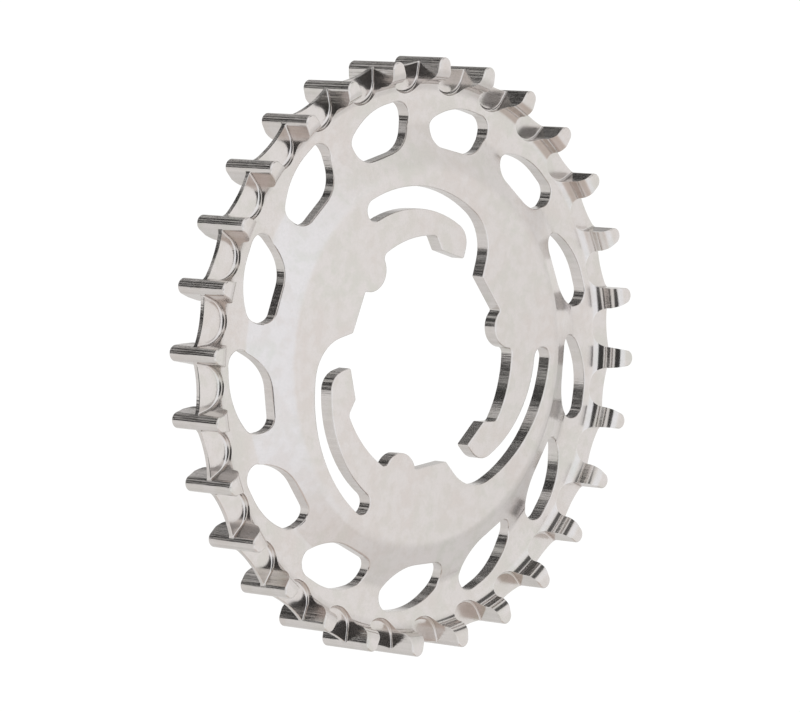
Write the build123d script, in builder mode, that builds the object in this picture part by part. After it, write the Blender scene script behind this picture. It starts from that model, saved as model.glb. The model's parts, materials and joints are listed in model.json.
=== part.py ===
from build123d import *
from math import cos, pi, radians, sin, sqrt, tan
import os

# Rear sprocket for a wide toothed belt, machined from one piece of stainless steel.
# Millimetres. The axis is +Z through the origin, and z = 0 is the middle of the belt.
# The raised middle with its spring arms faces +Z, and its hollow side faces -Z.

# Tooth ring
tooth_count = 28
belt_pitch = 11.0
crest_drop = 0.82
ring_width = 10.3

# Gap between two teeth
gap_depth = 5.83
gap_round = 3.65
flank_angle = 14.0

# Thin fin round the middle of the ring, which runs in the groove of the belt
fin_thickness = 0.8
fin_dip = 1.35
fin_scallop = 8.5

# Inner side of the tooth ends
bar_height = 4.0
bar_draft = 10.0
bar_foot_chamfer = 1.0
bar_end_chamfer = 0.3

# Rim plate, cone and raised middle
plate_thickness = 2.26
cone_foot_radius = 37.4
cone_top_radius = 30.5
raised_height = 4.3
disc_thickness = 2.5

# Lightening holes, one outline on the cone's foot
hole_count = 13
hole_start_angle = 15.0
hole_inset = 0.45
hole_length = 13.3
hole_height = 6.3
hole_slant = 13.0
hole_flare = 6.0
hole_lean = 4.5
hole_corner = 2.8

# Spring arms, each cut free by a curved slot that opens into the bore
arm_count = 3
arm_start_angle = 59.1
bore_radius = 19.6
slot_width = 3.6
slot_centre_x = 2.77
slot_centre_y = 4.43
slot_reach = 2.3
slot_root_angle = 40.4
mouth_width = 5.2
mouth_bend = 7.2
arm_tip_side = 3.25
arm_tip_bend = 3.3

# Flats and bumps that centre the sprocket on the hub
tip_flat_distance = 17.2
tip_flat_length = 5.25
seat_distance = 17.5
seat_angle = 36.0
bump_angle = 61.2
bump_centre_radius = 19.4
bump_radius = 3.4
bore_fillet = 1.0
corner_round = 0.4

# How far the cutting shapes reach past the metal
cut_margin = 2.0

# Sizes that follow from the ones above
tooth_pitch = 360 / tooth_count
pitch_radius = tooth_count * belt_pitch / (2 * pi)
tip_radius = pitch_radius - crest_drop
outside = tip_radius + cut_margin
half_width = ring_width / 2
half_fin = fin_thickness / 2
half_plate = plate_thickness / 2
side_cut = half_width - half_fin + cut_margin


def turned(x, y, angle):
    point = Vector(x, y).rotate(Axis.Z, angle)
    return (point.X, point.Y)


def corners_at(sketch, x):
    return sketch.vertices().filter_by_position(Axis.X, x - 0.01, x + 0.01)


def corners_between(sketch, low, high):
    return sketch.vertices().filter_by(lambda corner: low < Vector(corner.X, corner.Y).length < high)


def round_corners(sketch, corners, radius):
    for corner in corners:
        fillet(sketch.vertices().sort_by_distance(corner)[0], radius)


# Cutter for one tooth gap, on both sides of the fin
gap_centre = tip_radius - gap_depth + gap_round
flank_x = gap_centre - gap_round * sin(radians(flank_angle))
flank_y = gap_round * cos(radians(flank_angle))
flare_y = flank_y + (outside - flank_x) * tan(radians(flank_angle))

with BuildPart() as gap_cutter:
    with BuildSketch(Plane.XY.offset(half_fin)):
        with BuildLine():
            ThreePointArc((flank_x, flank_y), (gap_centre - gap_round, 0), (flank_x, -flank_y))
            Polyline((flank_x, -flank_y), (outside, -flare_y), (outside, flare_y), (flank_x, flank_y))
        make_face()
    extrude(amount=side_cut)
    mirror(about=Plane.XY)

# Cutter that rounds one tooth's crest beside the fin, tangent to both flanks
side_angle = flank_angle - tooth_pitch / 2
side_x, side_y = turned(flank_x, flank_y, -tooth_pitch / 2)
side_reach = tip_radius + side_y * cos(radians(side_angle)) - side_x * sin(radians(side_angle))
crest_centre = side_reach / (1 - sin(radians(side_angle)))
crest_radius = tip_radius - crest_centre
crest_start = crest_centre + crest_radius * sin(radians(side_angle))

with BuildPart() as crest_cutter:
    with BuildSketch(Plane.XY.offset(half_fin)):
        with Locations(((crest_start + outside) / 2, 0)):
            Rectangle(outside - crest_start, 2 * crest_radius + cut_margin)
        with Locations((crest_centre, 0)):
            Circle(crest_radius, mode=Mode.SUBTRACT)
    extrude(amount=side_cut)
    mirror(about=Plane.XY)

# One lightening hole: a slanted outline with rounded corners
hole_radius = cone_foot_radius - hole_inset
half_length = hole_length / 2
half_height = hole_height / 2


def hole_point(side, level):
    widening = side * tan(radians(hole_flare)) - tan(radians(hole_lean))
    y = side * half_length + level * half_height * widening
    return (hole_radius + level * half_height - y * tan(radians(hole_slant)), y)


with BuildSketch() as hole_outline:
    with BuildLine():
        Polyline(hole_point(-1, -1), hole_point(-1, 1), hole_point(1, 1), hole_point(1, -1), close=True)
    make_face()
    fillet(hole_outline.vertices(), hole_corner)

# One slot: its arc, its bend round the arm's tip and its mouth into the bore
slot_curve_radius = bore_radius + slot_reach
slot_outer = slot_curve_radius + slot_width / 2
slot_inner = slot_curve_radius - slot_width / 2
slot_centre = Vector(slot_centre_x, slot_centre_y)
mouth_side = arm_tip_side + mouth_width
bend_y = mouth_bend - mouth_side
bend_x = slot_centre_x + sqrt((slot_outer - mouth_bend) ** 2 - (slot_centre_y - bend_y) ** 2)
tip_y = arm_tip_bend - arm_tip_side
tip_x = slot_centre_x + sqrt((slot_inner - arm_tip_bend) ** 2 - (slot_centre_y - tip_y) ** 2)
bend_centre = Vector(bend_x, bend_y)
tip_centre = Vector(tip_x, tip_y)
root_direction = Vector(1, 0).rotate(Axis.Z, slot_root_angle)
end_direction = Vector(0, 1).rotate(Axis.Z, slot_root_angle)
bend_direction = (bend_centre - slot_centre).normalized()
tip_direction = (tip_centre - slot_centre).normalized()
slot_root = slot_centre + root_direction * slot_curve_radius
mouth_depth = tip_flat_distance - cut_margin

with BuildSketch() as slot_outline:
    with BuildLine():
        outer_middle = (root_direction + bend_direction).normalized()
        inner_middle = (root_direction + tip_direction).normalized()
        bend_middle = (bend_direction + Vector(0, -1)).normalized()
        tip_middle = (tip_direction + Vector(0, -1)).normalized()
        bend_start = slot_centre + bend_direction * slot_outer
        tip_start = slot_centre + tip_direction * slot_inner
        root_outer = slot_centre + root_direction * slot_outer
        root_inner = slot_centre + root_direction * slot_inner
        ThreePointArc(root_inner, slot_root + end_direction * slot_width / 2, root_outer)
        ThreePointArc(root_outer, slot_centre + outer_middle * slot_outer, bend_start)
        ThreePointArc(bend_start, bend_centre + bend_middle * mouth_bend, (bend_x, -mouth_side))
        Line((bend_x, -mouth_side), (mouth_depth, -mouth_side))
        Line((mouth_depth, -mouth_side), (mouth_depth, -arm_tip_side))
        Line((mouth_depth, -arm_tip_side), (tip_x, -arm_tip_side))
        ThreePointArc((tip_x, -arm_tip_side), tip_centre + tip_middle * arm_tip_bend, tip_start)
        ThreePointArc(tip_start, slot_centre + inner_middle * slot_inner, root_inner)
    make_face()

# The arm's flat tip, which bears on the hub and has a slanted end
mouth_middle = arm_tip_side + mouth_width / 2
tip_flat_end = tip_flat_length - arm_tip_side
flat_reach = bore_radius + cut_margin

with BuildSketch() as tip_flat:
    with BuildLine():
        Polyline(
            (tip_flat_distance, -mouth_middle),
            (tip_flat_distance, tip_flat_end),
            (flat_reach, tip_flat_end + flat_reach - tip_flat_distance),
            (flat_reach, -mouth_middle),
            close=True,
        )
    make_face()

# Whole opening for the hub
seat_turn = radians(seat_angle)
seat_near = (seat_distance * sin(seat_turn) - mouth_middle) / cos(seat_turn)
seat_far = seat_distance * tan(radians(bump_angle - seat_angle))

with BuildSketch() as hub_opening:
    Circle(bore_radius)
    with PolarLocations(0, arm_count, start_angle=arm_start_angle):
        add(tip_flat.sketch, mode=Mode.SUBTRACT)
    with PolarLocations(0, arm_count, start_angle=arm_start_angle - seat_angle):
        with Locations(((seat_distance + flat_reach) / 2, (seat_near - seat_far) / 2)):
            Rectangle(flat_reach - seat_distance, seat_near + seat_far, mode=Mode.SUBTRACT)
    with PolarLocations(bump_centre_radius, arm_count, start_angle=arm_start_angle - bump_angle):
        Circle(bump_radius, mode=Mode.SUBTRACT)
    with PolarLocations(0, arm_count, start_angle=arm_start_angle):
        add(slot_outline.sketch)
    round_corners(hub_opening, corners_between(hub_opening, 0, bore_radius - 0.9), corner_round)
    round_corners(hub_opening, corners_between(hub_opening, bore_radius - 0.01, bore_radius + 0.01), bore_fillet)

# The sprocket: turned blank, then its tooth gaps, crests, fin, holes and opening
bar_foot_radius = tip_radius - bar_height
bar_end_radius = bar_foot_radius + (half_width - half_plate) * tan(radians(bar_draft))
disc_back = raised_height - disc_thickness
cone_run = (cone_foot_radius - cone_top_radius) / (raised_height - half_plate)
hollow_radius = cone_foot_radius - (disc_back + half_plate) * cone_run

with BuildPart() as sprocket:
    with BuildSketch(Plane.XZ) as section:
        with BuildLine():
            Polyline(
                (0, disc_back),
                (hollow_radius, disc_back),
                (cone_foot_radius, -half_plate),
                (bar_foot_radius, -half_plate),
                (bar_end_radius, -half_width),
                (tip_radius, -half_width),
                (tip_radius, half_width),
                (bar_end_radius, half_width),
                (bar_foot_radius, half_plate),
                (cone_foot_radius, half_plate),
                (cone_top_radius, raised_height),
                (0, raised_height),
                close=True,
            )
        make_face()
        chamfer(corners_at(section, bar_end_radius), bar_end_chamfer)
        chamfer(corners_at(section, bar_foot_radius), bar_foot_chamfer)
    revolve(axis=Axis.Z)
    with PolarLocations(0, tooth_count, start_angle=tooth_pitch / 2):
        add(gap_cutter.part, mode=Mode.SUBTRACT)
    with PolarLocations(0, tooth_count):
        add(crest_cutter.part, mode=Mode.SUBTRACT)
    with BuildSketch(Plane.XY.offset(-half_width)):
        with PolarLocations(tip_radius - fin_dip + fin_scallop, tooth_count, start_angle=tooth_pitch / 2):
            Circle(fin_scallop)
    extrude(amount=ring_width, mode=Mode.SUBTRACT)
    with BuildSketch(Plane.XY.offset(-half_width)):
        with PolarLocations(0, hole_count, start_angle=hole_start_angle):
            add(hole_outline.sketch)
        add(hub_opening.sketch)
    extrude(amount=ring_width, mode=Mode.SUBTRACT)

sprocket.part.label = "sprocket"
os.makedirs("parts", exist_ok=True)
export_step(sprocket.part, "parts/sprocket.step")
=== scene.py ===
import json
from math import acos, atan2, cos, pi, radians, sin, sqrt, tan

import bmesh
import bpy
import numpy as np
from mathutils import Matrix

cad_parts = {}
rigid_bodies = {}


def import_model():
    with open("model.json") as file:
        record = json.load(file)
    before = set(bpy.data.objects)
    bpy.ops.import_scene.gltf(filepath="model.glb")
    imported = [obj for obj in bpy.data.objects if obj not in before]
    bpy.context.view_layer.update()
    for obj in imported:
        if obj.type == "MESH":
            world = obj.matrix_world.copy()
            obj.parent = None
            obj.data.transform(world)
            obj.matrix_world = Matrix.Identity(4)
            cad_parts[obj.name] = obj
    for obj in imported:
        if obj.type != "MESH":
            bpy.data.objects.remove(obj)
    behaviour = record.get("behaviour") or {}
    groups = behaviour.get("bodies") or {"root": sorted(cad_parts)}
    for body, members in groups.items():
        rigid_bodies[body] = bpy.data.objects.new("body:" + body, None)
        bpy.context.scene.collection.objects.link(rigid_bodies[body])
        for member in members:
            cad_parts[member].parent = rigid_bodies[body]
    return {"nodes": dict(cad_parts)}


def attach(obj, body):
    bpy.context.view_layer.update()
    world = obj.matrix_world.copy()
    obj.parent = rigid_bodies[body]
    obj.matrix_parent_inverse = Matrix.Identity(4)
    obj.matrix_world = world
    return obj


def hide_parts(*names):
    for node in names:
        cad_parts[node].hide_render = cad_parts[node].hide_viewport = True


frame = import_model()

for leftover in [o for o in bpy.data.objects if o.name in ("Cube", "Light", "Camera")]:
    bpy.data.objects.remove(leftover)
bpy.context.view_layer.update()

# Everything up to the finished piece is worked out in millimetres, as in the part's drawing
MM = 0.001

# Tooth ring
TEETH = 28
BELT_PITCH = 11.0
CREST_DROP = 0.82
TIP_RADIUS = TEETH * BELT_PITCH / (2 * pi) - CREST_DROP
HALF_WIDTH = 5.15
HALF_PITCH = pi / TEETH

# Gap between two teeth, with the rounded corner that its cutter leaves on the fin
GAP_DEPTH = 5.83
GAP_ROUND = 3.65
FLANK = radians(14.0)
COVE = 0.7
FLANK_COVE = 0.3

# Fin round the middle of the ring
HALF_FIN = 0.4
FIN_DIP = 1.35
FIN_SCALLOP = 18.0
FIN_EDGE = 0.08

# Section of the rim, the cone and the raised middle
PLATE_FRONT = 1.2
PLATE_BACK = -1.3
BAR_HEIGHT = 3.9
BAR_FOOT = TIP_RADIUS - BAR_HEIGHT
BAR_LEAN = tan(radians(6.0))
BAR_END = BAR_FOOT + (HALF_WIDTH - PLATE_FRONT) * BAR_LEAN
BAR_END_BACK = BAR_FOOT + (HALF_WIDTH + PLATE_BACK) * BAR_LEAN
BAR_ROUND = 2.0
CONE_FOOT = 37.5
CONE_FOOT_ROUND = 2.5
CONE_TOP = 30.5
CONE_TOP_ROUND = 4.0
CONE_WALL = 2.0
RAISED = 4.3
DISC_THICKNESS = 2.5
DISC_BACK = RAISED - DISC_THICKNESS
CONE_RUN = (CONE_FOOT - CONE_TOP) / (RAISED - PLATE_FRONT)
CONE_FOOT_BACK = CONE_FOOT + (PLATE_FRONT - CONE_WALL - PLATE_BACK) * CONE_RUN
HOLLOW = CONE_FOOT + (PLATE_FRONT - CONE_WALL - DISC_BACK) * CONE_RUN
HOLLOW_ROUND = 3.0

# Lightening holes, with one outline's corners as (x, y, rounding)
HOLES = 13
HOLE_START = radians(15.0)
HOLE_CORNERS = (
    (37.59, -6.77, 1.5),
    (33.76, -3.59, 7.3),
    (33.44, 6.34, 2.2),
    (37.24, 6.87, 2.8),
    (41.21, 1.88, 12.5),
    (40.95, -7.87, 2.4),
)

# How far the blank and the cutters reach past the metal that stays
BLANK_INSIDE = 10.0
BLANK_OUTSIDE = TIP_RADIUS + 0.6
GAP_CUTTER_OUTSIDE = 52.0
GAP_CUTTER_END = 5.75
THROUGH_CUTTER_END = 8.0

# Broken edges of holes and hub opening, as (how far out from the wall, height over the face)
HOLE_LIPS = ((0.24, 0.035), (0.06, -0.05), (0.0, -0.16))

# Broken edges of the tooth ends, as (height, how far the cutter is wider than the gap)
GAP_LIPS = (
    (GAP_CUTTER_END, 0.6),
    (HALF_WIDTH, 0.19),
    (HALF_WIDTH - 0.07, 0.07),
    (HALF_WIDTH - 0.2, 0.0),
)

# How finely the shapes are divided
SECTION_STEPS_PER_TURN = 56
HOLE_STEPS_PER_TURN = 96
SECTOR_STEPS = 13
GAP_ARC_STEPS = 12
FLANK_STEPS = 3
CREST_STEPS = 6
COVE_STEPS = 6

# Points closer than these are one point: in a cutter, in a ring of strips and after the cuts
SAME_POINT = 1e-5
SAME_IN_RING = 1e-4
SAME_AFTER_CUTS = 2e-4

# Edges that bend more than this stay sharp
SHARP_BEND = radians(22)

# Radii up to which the section is followed, and up to which faces take its normals
SECTION_FOLLOWED_TO = 43.5
NORMALS_SET_TO = 43.0

# A face belongs to the turned section if it is this near to it and isn't steeper than this
NEAR_SECTION = 0.02
LEAST_UP = 0.5

# How strongly larger faces lead the soft shading
FACE_WEIGHT = 80

# Colours of the steel
WARM_STEEL = (0.735, 0.718, 0.682)
PINK_STEEL = (0.765, 0.712, 0.69)
PALE_STEEL = (0.8, 0.76, 0.75)
DARK_GRAIN = (0.6, 0.6, 0.57)
DARK_STREAK = (0.56, 0.54, 0.52)
PALE_STREAK = (0.76, 0.74, 0.72)
# Pale colour along the edges: partly wear, partly a painted highlight on rims and crests
EDGE_WEAR_AND_HIGHLIGHT = (0.93, 0.92, 0.9)

# Scales of the steel's noises, and its depths in metres
CLOUD_SCALE = 95.0
MOTTLE_SCALE = 420.0
STREAK_SCALE = 1500.0
GRAIN_SCALE = 2600.0
FINE_STREAK_SCALE = 4200.0
# How far in from an edge the wear and painted highlight reach, in metres
EDGE_WEAR_AND_HIGHLIGHT_REACH = 0.00022
BUMP_DEPTH = 0.00003

# The photograph's view: a long lens at 0.88 m that looks down on the sprocket at 44 degrees
PHOTO_WIDTH = 800
SENSOR_WIDTH = 36.0
VIEW_END = 10.0
CAMERA_AT = (0.10444311, -0.62354684, 0.61426781)
CAMERA_RIGHT = (-0.20119446, 0.67133233, 0.71332579)
CAMERA_DOWN = (0.97240522, 0.22468378, 0.06281149)
CAMERA_AHEAD = (-0.11810535, 0.70627905, -0.69801220)
CAMERA_FOCUS = 5472.116
CAMERA_SIDE = atan2(CAMERA_AT[1], CAMERA_AT[0])

# Colours of the light
LIGHT = (1.0, 0.99, 0.975)
LIGHT_OVERHEAD = (0.975, 1.0, 1.03)
LIGHT_OFF_WOOD = (0.8, 0.715, 0.66)

# Floor, in metres
FLOOR_HEIGHT = -(HALF_WIDTH + 0.02) * MM
FLOOR_REACH = 3


def unit(rows):
    """Each row as a vector of length 1."""
    return rows / np.linalg.norm(rows, axis=1)[:, None]


def arc_points(corner, before, after, radius, steps):
    """Points of the arc that rounds a corner, tangent to both of its sides."""
    corner, before, after = (np.array(p, float) for p in (corner, before, after))
    a = (before - corner) / np.linalg.norm(before - corner)
    b = (after - corner) / np.linalg.norm(after - corner)
    half = acos(float(np.clip(a @ b, -1, 1))) / 2
    centre = corner + (a + b) / np.linalg.norm(a + b) * radius / sin(half)
    start = corner + a * radius / tan(half) - centre
    end = corner + b * radius / tan(half) - centre
    first = atan2(start[1], start[0])
    sweep = (atan2(end[1], end[0]) - first + pi) % (2 * pi) - pi
    turn = first + sweep * np.linspace(0, 1, steps + 1)
    return centre + radius * np.stack([np.cos(turn), np.sin(turn)], 1)


def rounded_loop(corners, steps_per_turn):
    """A closed outline from (x, y, radius) corners."""
    points = []
    for i, (x, y, radius) in enumerate(corners):
        before, after = corners[i - 1][:2], corners[(i + 1) % len(corners)][:2]
        if radius == 0:
            points.append(np.array([[x, y]]))
            continue
        a = atan2(y - before[1], x - before[0])
        b = atan2(after[1] - y, after[0] - x)
        bend = abs((b - a + pi) % (2 * pi) - pi)
        steps = max(3, round(bend / (2 * pi) * steps_per_turn))
        points.append(arc_points((x, y), before, after, radius, steps))
    return np.concatenate(points)


def anticlockwise(loop):
    """The outline itself, or turned round if it runs clockwise."""
    area = np.sum(loop[:, 0] * np.roll(loop[:, 1], -1) - loop[:, 1] * np.roll(loop[:, 0], -1))
    return loop if area > 0 else loop[::-1]


def outward(loop):
    """Unit normals at an anticlockwise outline's points, and the cosine of half the bend there."""
    ahead = unit(np.roll(loop, -1, 0) - loop)
    along = unit(ahead + np.roll(ahead, 1, 0))
    return np.stack([along[:, 1], -along[:, 0]], 1), np.sum(along * ahead, axis=1)[:, None]


def new_object(name, vertices, faces):
    """An object in the scene, from points and faces."""
    mesh = bpy.data.meshes.new(name)
    mesh.from_pydata([tuple(v) for v in vertices], [], [tuple(f) for f in faces])
    mesh.update()
    piece = bpy.data.objects.new(name, mesh)
    bpy.context.scene.collection.objects.link(piece)
    return piece


def recalculated(piece):
    """Merges doubles and turns all faces outwards on a closed shape."""
    work = bmesh.new()
    work.from_mesh(piece.data)
    bmesh.ops.remove_doubles(work, verts=work.verts, dist=SAME_POINT)
    bmesh.ops.recalc_face_normals(work, faces=work.faces)
    work.to_mesh(piece.data)
    work.free()
    return piece


def stacked(name, loops):
    """A closed shape from loops of the same number of points, one above the other."""
    count = len(loops[0])
    faces = []
    for level in range(len(loops) - 1):
        a, b = level * count, (level + 1) * count
        for i in range(count):
            j = (i + 1) % count
            faces.append((a + i, a + j, b + j, b + i))
    top = (len(loops) - 1) * count
    faces.append(tuple(reversed(range(count))))
    faces.append(tuple(top + i for i in range(count)))
    return new_object(name, np.concatenate(loops), faces)


# Section of the blank before its teeth and holes are cut, from (radius, height, rounding)
section = rounded_loop(
    [
        (BLANK_INSIDE, DISC_BACK, 0),
        (HOLLOW, DISC_BACK, HOLLOW_ROUND),
        (CONE_FOOT_BACK, PLATE_BACK, HOLLOW_ROUND),
        (BAR_FOOT, PLATE_BACK, BAR_ROUND),
        (BAR_END_BACK, -HALF_WIDTH, BAR_ROUND),
        (BLANK_OUTSIDE, -HALF_WIDTH, 0),
        (BLANK_OUTSIDE, HALF_WIDTH, 0),
        (BAR_END, HALF_WIDTH, BAR_ROUND),
        (BAR_FOOT, PLATE_FRONT, BAR_ROUND),
        (CONE_FOOT, PLATE_FRONT, CONE_FOOT_ROUND),
        (CONE_TOP, RAISED, CONE_TOP_ROUND),
        (BLANK_INSIDE, RAISED, 0),
    ],
    SECTION_STEPS_PER_TURN,
)


def face_run(side):
    """Radii, heights and normals along the blank's front (side 1) or back (-1), inside to out."""
    radii, heights = section[:, 0], section[:, 1]
    normals, _ = outward(section)
    here = len(section) - 1 if side > 0 else 0
    run = []
    while radii[here] < SECTION_FOLLOWED_TO and radii[here - side] > radii[here]:
        here -= side
        run.append(here)
    return radii[run], heights[run], normals[run]


def turned_sector():
    """One tooth pitch of the blank, as a strip of the turned surface."""
    count = len(section)
    vertices, faces = [], []
    for k in range(SECTOR_STEPS + 1):
        turn = (2 * k / SECTOR_STEPS - 1) * HALF_PITCH
        vertices += [(r * cos(turn), r * sin(turn), z) for r, z in section]
    for k in range(SECTOR_STEPS):
        a, b = k * count, (k + 1) * count
        for i in range(count):
            j = (i + 1) % count
            faces.append((a + i, b + i, b + j, a + j))
    return new_object("turned_sector", vertices, faces)


# Half of one tooth gap's outline: gap arc, flank and crest arc, all tangent
gap_centre = TIP_RADIUS - GAP_DEPTH + GAP_ROUND
flank_x = gap_centre - GAP_ROUND * sin(FLANK)
flank_y = GAP_ROUND * cos(FLANK)
side_angle = FLANK - HALF_PITCH
side_x = flank_x * cos(HALF_PITCH) + flank_y * sin(HALF_PITCH)
side_y = flank_y * cos(HALF_PITCH) - flank_x * sin(HALF_PITCH)
side_reach = TIP_RADIUS + side_y * cos(side_angle) - side_x * sin(side_angle)
crest_centre = side_reach / (1 - sin(side_angle))
crest_radius = TIP_RADIUS - crest_centre
crest_at = np.array([crest_centre * cos(HALF_PITCH), crest_centre * sin(HALF_PITCH)])
flank_start = np.array([flank_x, flank_y])
flank_way = np.array([cos(FLANK), sin(FLANK)])
flank_normal = np.array([sin(FLANK), -cos(FLANK)])
flank_end = crest_at + crest_radius * flank_normal
crest_turn = atan2(flank_normal[1], flank_normal[0])

# Lengths along that half outline, from the middle of the gap
gap_arc = GAP_ROUND * (pi / 2 - FLANK)
flank_length = float((flank_end - flank_start) @ flank_way)
crest_length = crest_radius * (HALF_PITCH - crest_turn)
half_outline = gap_arc + flank_length + crest_length

# Centre of the round dip in the fin
scallop_at = np.array([TIP_RADIUS - FIN_DIP + FIN_SCALLOP, 0])


def tooth_point(s):
    """Point and normal, towards the air, at a length s from the middle of the gap."""
    if s <= gap_arc:
        turn = pi - s / GAP_ROUND
        way = np.array([cos(turn), sin(turn)])
        return np.array([gap_centre, 0]) + GAP_ROUND * way, -way
    s -= gap_arc
    if s <= flank_length:
        return flank_start + s * flank_way, flank_normal
    turn = crest_turn + min((s - flank_length) / crest_radius, HALF_PITCH - crest_turn)
    way = np.array([cos(turn), sin(turn)])
    return crest_at + crest_radius * way, way


def fin_room(s):
    """How far the fin reaches from the tooth's outline, along its normal, or below 0 past its end."""
    point, normal = tooth_point(s)
    apart = point - scallop_at
    along = apart @ normal
    rest = along * along - (apart @ apart - FIN_SCALLOP ** 2)
    if rest <= 0:
        return float("inf")
    near = -along - sqrt(rest)
    return near if near > 0 or apart @ apart > FIN_SCALLOP ** 2 else -1.0


def where_room_is(limit):
    """Length along the outline at which the fin's room falls to a limit."""
    low, high = gap_arc, half_outline
    for _ in range(60):
        middle = (low + high) / 2
        if fin_room(middle) > limit:
            low = middle
        else:
            high = middle
    return (low + high) / 2


def spread(*stops):
    """Values along the outline from (length, steps) stops."""
    values = [0.0]
    for length, steps in stops:
        values += list(np.linspace(values[-1], length, steps + 1)[1:])
    return values


def tooth_loops():
    """Half outlines with their heights, from past the end face down to the middle of the fin."""
    cove_ends = where_room_is(FLANK_COVE)
    fin_ends = where_room_is(0.0)
    stops = sorted((length, FLANK_STEPS) for length in (cove_ends, fin_ends, gap_arc + flank_length))
    lengths = spread((gap_arc, GAP_ARC_STEPS), *stops, (half_outline, CREST_STEPS))
    base, normal = (np.array(rows) for rows in zip(*[tooth_point(s) for s in lengths]))
    room = np.array([max(0.0, fin_room(s)) if s < fin_ends - 1e-9 else 0.0 for s in lengths])
    marks = np.array(lengths)
    cove = FLANK_COVE + (COVE - FLANK_COVE) * np.cos(np.clip(marks / gap_arc, 0, 1) * pi / 2)

    def level(outline, height):
        return np.column_stack([outline, np.zeros(len(outline)) + height])

    loops = [level(base - wider * normal, height) for height, wider in GAP_LIPS]

    # The cove between gap and fin, as far as the fin has room for it
    for k in range(COVE_STEPS + 1):
        turn = k / COVE_STEPS * pi / 2
        shift = np.minimum(cove * (1 - cos(turn)), room)
        loops.append(level(base + shift[:, None] * normal, HALF_FIN + cove * (1 - sin(turn))))

    # The fin's own edge, with its dip, up to where the cove runs out into the tooth
    inner = loops[-1][:, :2]
    clipped = marks >= cove_ends - 1e-9
    last = int(np.argmax(clipped))
    reach = atan2(inner[last, 1], scallop_at[0] - inner[last, 0])
    turn = marks / marks[last] * reach
    edge = np.column_stack([scallop_at[0] - FIN_SCALLOP * np.cos(turn), FIN_SCALLOP * np.sin(turn)])
    edge[clipped] = inner[clipped]
    width = np.linalg.norm(edge - inner, axis=1)
    step_in = edge - np.minimum(FIN_EDGE, width / 2)[:, None] * unit(edge)
    return loops + [level(step_in, HALF_FIN), level(edge, HALF_FIN - FIN_EDGE)]


def gap_sector():
    """One pitch of the ring-shaped cutter that leaves the teeth and the fin, as a strip."""
    halves = tooth_loops()
    halves = halves + [loop * np.array([1, 1, -1]) for loop in reversed(halves)]
    rows = [np.concatenate([loop[:0:-1] * np.array([1, -1, 1]), loop]) for loop in halves]
    turn = np.arctan2(rows[0][:, 1], rows[0][:, 0])
    x, y = GAP_CUTTER_OUTSIDE * np.cos(turn), GAP_CUTTER_OUTSIDE * np.sin(turn)
    rows += [np.column_stack([x, y, row[:, 2]]) for row in (rows[-1], rows[0])]
    count = len(rows[0])
    faces = []
    for level in range(len(rows)):
        a, b = level * count, (level + 1) % len(rows) * count
        for i in range(count - 1):
            faces.append((a + i, a + i + 1, b + i + 1, b + i))
    return new_object("gap_sector", np.concatenate(rows), faces)


def through_cutter(name, loop):
    """A cutter through the plate whose walls open into small roundings at both faces."""
    normal, half_bend = outward(loop)
    normal = normal / half_bend
    rows = []
    for side in (1, -1):
        radii, heights, _ = face_run(side)
        part = []
        for out, rise in HOLE_LIPS:
            moved = loop + out * normal
            height = np.interp(np.hypot(moved[:, 0], moved[:, 1]), radii, heights) + side * rise
            part.append(np.column_stack([moved, height]))
        over = part[0].copy()
        over[:, 2] = THROUGH_CUTTER_END * side
        part.insert(0, over)
        rows.append(part)
    return recalculated(stacked(name, rows[0] + rows[1][::-1]))


def rim_loop(mesh, height):
    """The innermost closed outline of the metal at a flat face of the drawn part, in millimetres."""
    work = bmesh.new()
    work.from_mesh(mesh)
    bmesh.ops.remove_doubles(work, verts=work.verts, dist=SAME_POINT * MM)
    flat = [all(abs(v.co.z / MM - height) < 1e-3 for v in f.verts) for f in work.faces]
    ahead = {}
    for edge in work.edges:
        sides = edge.link_faces
        if len(sides) == 2 and flat[sides[0].index] != flat[sides[1].index]:
            a, b = edge.verts
            ahead.setdefault(a.index, []).append(b.index)
            ahead.setdefault(b.index, []).append(a.index)
    work.verts.ensure_lookup_table()
    start = min(ahead, key=lambda i: work.verts[i].co.x ** 2 + work.verts[i].co.y ** 2)
    order = [start]
    previous, here = None, start
    while True:
        following = [i for i in ahead[here] if i != previous]
        previous, here = here, following[0]
        if here == start:
            break
        order.append(here)
    loop = np.array([[work.verts[i].co.x / MM, work.verts[i].co.y / MM] for i in order])
    work.free()
    return anticlockwise(loop)


class Tree:
    """A node tree written as calls: a node's type, its settings, then its sockets (_ is a space)."""

    def __init__(self, tree):
        self.tree = tree

    def add(self, kind, settings=None, **sockets):
        node = self.tree.nodes.new(kind)
        for name, value in (settings or {}).items():
            setattr(node, name, value)
        for name, value in sockets.items():
            self.fill(self.socket(node, name), value)
        return node

    def socket(self, node, name):
        wanted = name.replace("_", " ").lower()
        found = [s for s in node.inputs if s.enabled and s.name.lower() == wanted]
        if not found:
            found = [s for s in node.inputs if s.identifier.lower() == name.lower()]
        return found[0]

    def fill(self, socket, value):
        for item in value if isinstance(value, list) else [value]:
            if isinstance(item, bpy.types.NodeSocket):
                self.tree.links.new(item, socket)
            elif isinstance(item, bpy.types.Node):
                self.tree.links.new(item.outputs[0], socket)
            else:
                socket.default_value = item


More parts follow.
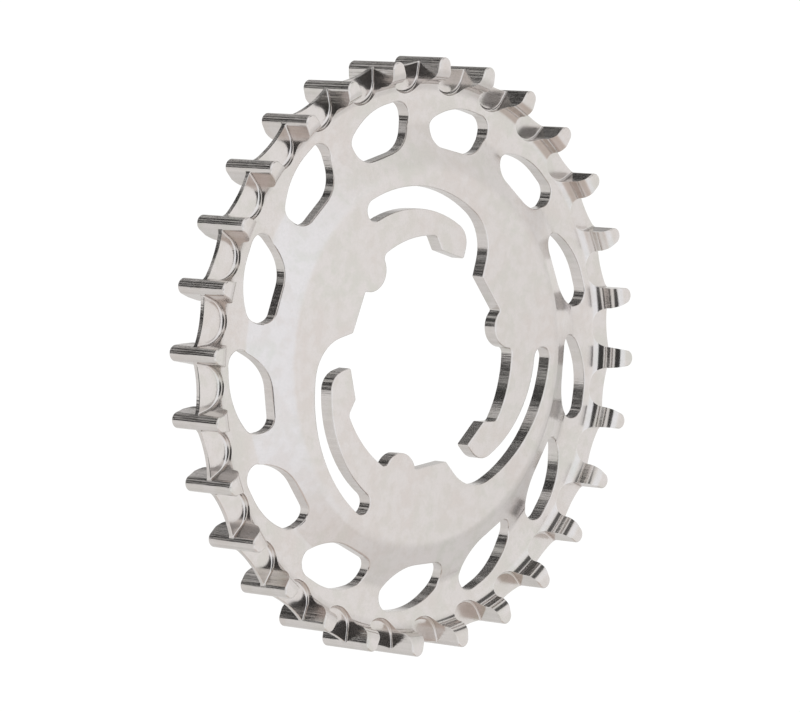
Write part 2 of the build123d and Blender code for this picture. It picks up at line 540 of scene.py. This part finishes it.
def body_tree():
    """Repeats the turned strip and the cutters round the axis, cuts them and sets the finish."""
    tree = bpy.data.node_groups.new("sprocket_body", "GeometryNodeTree")
    for name, kind in (
        ("Turned strip", "NodeSocketObject"),
        ("Gap strip", "NodeSocketObject"),
        ("Hole cutter", "NodeSocketObject"),
        ("Hub cutter", "NodeSocketObject"),
        ("Teeth", "NodeSocketInt"),
        ("Holes", "NodeSocketInt"),
        ("First hole", "NodeSocketFloat"),
        ("Metres per unit", "NodeSocketFloat"),
        ("Steel", "NodeSocketMaterial"),
    ):
        tree.interface.new_socket(name, in_out="INPUT", socket_type=kind)
    tree.interface.new_socket("Body", in_out="OUTPUT", socket_type="NodeSocketGeometry")
    t = Tree(tree)
    given = t.add("NodeGroupInput").outputs

    def shape(name):
        return t.add("GeometryNodeObjectInfo", Object=given[name]).outputs["Geometry"]

    def round_axis(geometry, count, first):
        """Copies of a shape at equal steps round the axis, from a first angle."""
        step = t.add("ShaderNodeMath", {"operation": "DIVIDE"})
        step.inputs[0].default_value = 2 * pi
        t.fill(step.inputs[1], count)
        turn = t.add("ShaderNodeMath", {"operation": "MULTIPLY_ADD"})
        t.fill(turn.inputs[0], t.add("GeometryNodeInputIndex"))
        t.fill(turn.inputs[1], step)
        t.fill(turn.inputs[2], first)
        spin = t.add("ShaderNodeCombineXYZ", Z=turn)
        places = t.add("GeometryNodePoints", Count=count)
        copies = t.add("GeometryNodeInstanceOnPoints", Points=places, Instance=geometry, Rotation=spin)
        return t.add("GeometryNodeRealizeInstances", Geometry=copies)

    def ring(name):
        copies = round_axis(shape(name), given["Teeth"], HALF_PITCH)
        return t.add("GeometryNodeMergeByDistance", Geometry=copies, Distance=SAME_IN_RING)

    holes = round_axis(shape("Hole cutter"), given["Holes"], given["First hole"])
    cut = t.add("GeometryNodeMeshBoolean", {"operation": "DIFFERENCE", "solver": "EXACT"})
    t.fill(cut.inputs["Mesh 1"], ring("Turned strip"))
    t.fill(cut.inputs["Mesh 2"], [ring("Gap strip").outputs[0], holes.outputs[0], shape("Hub cutter")])
    welded = t.add("GeometryNodeMergeByDistance", Geometry=cut, Distance=SAME_AFTER_CUTS)
    metres = given["Metres per unit"]
    size = t.add("ShaderNodeCombineXYZ", X=metres, Y=metres, Z=metres)
    small = t.add("GeometryNodeTransform", Geometry=welded, Scale=size)
    whole = t.add("GeometryNodeRealizeInstances", Geometry=small)
    finished = t.add("GeometryNodeSetMaterial", Geometry=whole, Material=given["Steel"])
    t.add("NodeGroupOutput", Body=finished)
    return tree


def finished_mesh(piece, name):
    """The piece's mesh with its modifiers worked in."""
    view = bpy.context.evaluated_depsgraph_get()
    mesh = bpy.data.meshes.new_from_object(piece.evaluated_get(view))
    mesh.name = name
    return mesh


def make_body(steel):
    """The whole sprocket: its strips and cutters go through the tree, and are then removed."""
    hole_outline = anticlockwise(rounded_loop(HOLE_CORNERS, HOLE_STEPS_PER_TURN))
    hub_outline = rim_loop(frame["nodes"]["sprocket"].data, RAISED)
    cutters = {
        "Turned strip": turned_sector(),
        "Gap strip": gap_sector(),
        "Hole cutter": through_cutter("hole_cutter", hole_outline),
        "Hub cutter": through_cutter("hub_cutter", hub_outline),
    }
    values = {
        **cutters,
        "Teeth": TEETH,
        "Holes": HOLES,
        "First hole": HOLE_START,
        "Metres per unit": MM,
        "Steel": steel,
    }
    holder = new_object("holder", [(0, 0, 0)], [])
    tree = body_tree()
    modifier = holder.modifiers.new("body", "NODES")
    modifier.node_group = tree
    for item in tree.interface.items_tree:
        if item.in_out == "INPUT":
            modifier[item.identifier] = values[item.name]
    mesh = finished_mesh(holder, "sprocket_finished")
    for helper in [*cutters.values(), holder]:
        bpy.data.objects.remove(helper)
    piece = bpy.data.objects.new("sprocket_finished", mesh)
    bpy.context.scene.collection.objects.link(piece)
    return piece


def true_turned_normals(mesh):
    """Gives the turned faces the exact normals of their section, whatever the cuts did to them."""
    normals = np.empty(len(mesh.loops) * 3)
    mesh.corner_normals.foreach_get("vector", normals)
    normals = normals.reshape(-1, 3)
    spots = np.empty(len(mesh.vertices) * 3)
    mesh.vertices.foreach_get("co", spots)
    spots = spots.reshape(-1, 3) / MM
    runs = {side: face_run(side) for side in (1, -1)}
    for face in mesh.polygons:
        radii, heights, slopes = runs[1 if face.normal.z > 0 else -1]
        at = spots[list(face.vertices)]
        radius = np.hypot(at[:, 0], at[:, 1])
        apart = np.abs(at[:, 2] - np.interp(radius, radii, heights)).max()
        if abs(face.normal.z) < LEAST_UP or radius.max() > NORMALS_SET_TO or apart > NEAR_SECTION:
            continue
        out = np.interp(radius, radii, slopes[:, 0])
        up = np.interp(radius, radii, slopes[:, 1])
        exact = unit(np.column_stack([out * at[:, 0] / radius, out * at[:, 1] / radius, up]))
        normals[face.loop_start:face.loop_start + face.loop_total] = exact
    mesh.normals_split_custom_set(normals.tolist())


def smooth_faces(piece):
    """Soft shading over roundings, with flat faces kept flat and real edges kept sharp."""
    mesh = piece.data
    mesh.shade_smooth()
    mesh.set_sharp_from_angle(angle=SHARP_BEND)
    weights = piece.modifiers.new("weights", "WEIGHTED_NORMAL")
    weights.keep_sharp = True
    weights.weight = FACE_WEIGHT
    piece.data = finished_mesh(piece, "sprocket_finished")
    piece.modifiers.clear()
    bpy.data.meshes.remove(mesh)
    true_turned_normals(piece.data)


class Shade:
    """A value in a shader tree that Python's own operators can work with."""

    def __init__(self, tree, socket):
        self.tree = tree
        self.socket = socket

    def maths(self, operation, *values):
        node = self.tree.add("ShaderNodeMath", {"operation": operation})
        for place, value in zip(node.inputs, values):
            self.tree.fill(place, value.socket if isinstance(value, Shade) else value)
        return Shade(self.tree, node.outputs[0])

    def __add__(self, other):
        return self.maths("ADD", self, other)

    def __radd__(self, other):
        return self.maths("ADD", other, self)

    def __sub__(self, other):
        return self.maths("SUBTRACT", self, other)

    def __rsub__(self, other):
        return self.maths("SUBTRACT", other, self)

    def __mul__(self, other):
        return self.maths("MULTIPLY", self, other)

    def __rmul__(self, other):
        return self.maths("MULTIPLY", other, self)

    def __abs__(self):
        return self.maths("ABSOLUTE", self)

    def rising(self, low, high):
        """0 below one value and 1 above another, with a soft step between them."""
        node = self.tree.add("ShaderNodeMapRange", {"interpolation_type": "SMOOTHSTEP"}, Value=self.socket)
        node.inputs["From Min"].default_value = low
        node.inputs["From Max"].default_value = high
        return Shade(self.tree, node.outputs[0])


def shader_tree(owner):
    """The empty node tree of a material or a world."""
    owner.use_nodes = True
    owner.node_tree.nodes.clear()
    return Tree(owner.node_tree)


def parts(tree, vector):
    """The x, y and z of a vector."""
    split = tree.add("ShaderNodeSeparateXYZ", Vector=vector)
    return [Shade(tree, output) for output in split.outputs]


def stretched(tree, vector, z):
    """A vector whose noise is drawn out along the axis."""
    return tree.add("ShaderNodeMapping", Vector=vector, Scale=(1, 1, z)).outputs[0]


def noise(tree, vector, scale, detail, roughness=0.5):
    node = tree.add("ShaderNodeTexNoise", Vector=vector, Scale=scale, Detail=detail, Roughness=roughness)
    return Shade(tree, node.outputs[0])


def blend(tree, share, first, second):
    """A colour between two, each a tuple or a socket."""
    node = tree.add("ShaderNodeMix", {"data_type": "RGBA"})
    tree.fill(node.inputs[0], share.socket)
    for place, colour in ((node.inputs[6], first), (node.inputs[7], second)):
        tree.fill(place, (*colour, 1) if isinstance(colour, tuple) else colour)
    return node.outputs[2]


def bend_nearby(tree):
    """0 on an open face, and more near an edge, where the rounded normal leaves the face's own."""
    rounded = tree.add("ShaderNodeBevel", {"samples": 4}, Radius=EDGE_WEAR_AND_HIGHLIGHT_REACH)
    own = tree.add("ShaderNodeNewGeometry").outputs["Normal"]
    facing = tree.add("ShaderNodeVectorMath", {"operation": "DOT_PRODUCT"})
    tree.fill(facing.inputs[0], rounded)
    tree.fill(facing.inputs[1], own)
    return 1 - Shade(tree, facing.outputs["Value"])


def make_steel():
    """Ground stainless steel: mottled faces, milled walls with streaks along the axis, edges paled by wear
    and by a painted highlight.
    """
    material = bpy.data.materials.new("satin_steel")
    t = shader_tree(material)
    place = t.add("ShaderNodeTexCoord")
    spot = place.outputs["Object"]
    up = parts(t, place.outputs["Normal"])[2]
    wall = 1 - abs(up).rising(0.12, 0.4)
    cloud = noise(t, spot, CLOUD_SCALE, 2.0, 0.55)
    mottle = noise(t, spot, MOTTLE_SCALE, 2.0, 0.6)
    grain = noise(t, spot, GRAIN_SCALE, 2.0, 0.6)
    streak = noise(t, stretched(t, spot, 0.03), STREAK_SCALE, 3.0, 0.65)
    fine_streak = noise(t, stretched(t, spot, 0.05), FINE_STREAK_SCALE, 2.0, 0.6)
    # Mask near edges: partly wear, partly a painted highlight along the rims and crests
    edge = bend_nearby(t).rising(0.01, 0.12) * (0.45 + 0.55 * mottle.rising(0.35, 0.6))

    colour = blend(t, cloud.rising(0.35, 0.65), WARM_STEEL, PINK_STEEL)
    colour = blend(t, mottle.rising(0.35, 0.65) * 0.95, colour, PALE_STEEL)
    colour = blend(t, grain.rising(0.3, 0.8) * 0.15, colour, DARK_GRAIN)
    colour = blend(t, wall * 0.28, colour, blend(t, streak.rising(0.35, 0.7), DARK_STREAK, PALE_STREAK))
    # Edges turn paler: wear, and a painted highlight
    colour = blend(t, edge * 0.75, colour, EDGE_WEAR_AND_HIGHLIGHT)

    height = (streak * 0.7 + fine_streak * 0.3) * wall * 1.5 + grain * 0.02 + cloud * 0.02
    bump = t.add("ShaderNodeBump", Strength=1.0, Distance=BUMP_DEPTH, Height=height.socket)
    roughness = 0.13 + cloud * 0.06 + grain * 0.04 - wall * 0.02 + edge * 0.08
    finish = t.add("ShaderNodeBsdfPrincipled", Metallic=1.0, Base_Color=colour, Normal=bump)
    t.fill(finish.inputs["Roughness"], roughness.socket)
    t.add("ShaderNodeOutputMaterial", Surface=finish)
    return material


def make_camera():
    """The photograph's own view, rolled so that the -X side of the sprocket is at the top."""
    turn = Matrix((
        (CAMERA_RIGHT[0], -CAMERA_DOWN[0], -CAMERA_AHEAD[0]),
        (CAMERA_RIGHT[1], -CAMERA_DOWN[1], -CAMERA_AHEAD[1]),
        (CAMERA_RIGHT[2], -CAMERA_DOWN[2], -CAMERA_AHEAD[2]),
    ))
    lens = bpy.data.cameras.new("camera")
    lens.sensor_fit = "HORIZONTAL"
    lens.sensor_width = SENSOR_WIDTH
    lens.lens = SENSOR_WIDTH * CAMERA_FOCUS / PHOTO_WIDTH
    lens.clip_end = VIEW_END
    camera = bpy.data.objects.new("camera", lens)
    bpy.context.scene.collection.objects.link(camera)
    camera.matrix_world = Matrix.Translation(CAMERA_AT) @ turn.to_4x4()
    bpy.context.scene.camera = camera


def make_light():
    """Soft light from all round, by direction, with the few dark things that the steel mirrors."""
    world = bpy.data.worlds.new("studio")
    bpy.context.scene.world = world
    t = shader_tree(world)
    way = t.add("ShaderNodeTexCoord").outputs["Generated"]
    x, y, z = parts(t, way)

    def towards(degrees_on):
        """How far the direction points to a bearing, counted from the camera's side."""
        bearing = CAMERA_SIDE + radians(degrees_on)
        return x * cos(bearing) + y * sin(bearing)

    def towards_spot(degrees_on, degrees_up):
        """The same, for a spot at a height over the horizon."""
        return towards(degrees_on) * cos(radians(degrees_up)) + z * sin(radians(degrees_up))

    # Even light that grows overhead, with soft patches, and panes low down opposite the camera
    patch = noise(t, way, 2.2, 2.0)
    above = 0.80 + 0.18 * z.rising(0.48, 0.98) - 0.07 * towards(115).rising(0.2, 0.8)
    above = above + 0.16 * (patch - 0.5)
    horizon = towards(180).rising(0.55, 0.8) * (1 - abs(z + 0.06).rising(0.1, 0.3))
    panes = noise(t, stretched(t, way, 0.4), 5.0, 1.0).rising(0.47, 0.53)
    above = above - horizon * (0.3 * panes - 0.12)

    # A dark shelf on the -X side, and the dark of the camera itself
    shelf = towards(-82).rising(0.62, 0.68) * z.rising(0.2, 0.3) * (1 - z.rising(0.7, 0.78))
    behind_lens = towards_spot(6, 46).rising(0.885, 0.91)
    above = above * (1 - 0.88 * shelf) * (1 - 0.95 * behind_lens)

    # The dim part of the room low down on the -X side, which upright walls mirror, with glints in it
    low = 1 - z.rising(-0.47, -0.38)
    dim = towards(-82).rising(0.0, 0.02) * towards(0).rising(-0.71, -0.4) * low
    glints = 0.008 + 0.7 * noise(t, stretched(t, way, 0.3), 8.0, 3.0, 0.6).rising(0.5, 0.64)
    level = above * (1 - dim) + glints * dim

    # Cooler light overhead, and warm light off wood on the +X side
    wood = towards_spot(92, 28).rising(0.8, 0.92) * (1 - z.rising(0.74, 0.84))
    tint = blend(t, z.rising(0.72, 0.95), LIGHT, LIGHT_OVERHEAD)
    tint = blend(t, wood, tint, LIGHT_OFF_WOOD)
    colour = t.add("ShaderNodeVectorMath", {"operation": "SCALE"})
    t.fill(colour.inputs[0], tint)
    t.fill(colour.inputs["Scale"], level.socket)
    t.add("ShaderNodeOutputWorld", Surface=t.add("ShaderNodeBackground", Color=colour, Strength=1.0))


def make_floor():
    """A sheet of white paper that the steel doesn't mirror."""
    paper = bpy.data.materials.new("white_paper")
    t = shader_tree(paper)
    sheet = t.add("ShaderNodeBsdfPrincipled", Base_Color=(0.05, 0.05, 0.05, 1), Roughness=1.0)
    t.fill(sheet.inputs["Emission Color"], (1, 1, 1, 1))
    t.fill(sheet.inputs["Emission Strength"], 1.0)
    t.add("ShaderNodeOutputMaterial", Surface=sheet)
    ends = ((-1, -1), (1, -1), (1, 1), (-1, 1))
    corners = [(x * FLOOR_REACH, y * FLOOR_REACH, FLOOR_HEIGHT) for x, y in ends]
    floor = new_object("floor", corners, [(0, 1, 2, 3)])
    floor.visible_glossy = False
    floor.data.materials.append(paper)


view = bpy.context.scene.view_settings
view.view_transform = "Standard"
view.look = "None"

steel = make_steel()
sprocket = make_body(steel)
smooth_faces(sprocket)
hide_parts("sprocket")
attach(sprocket, "root")

make_camera()
make_light()
make_floor()
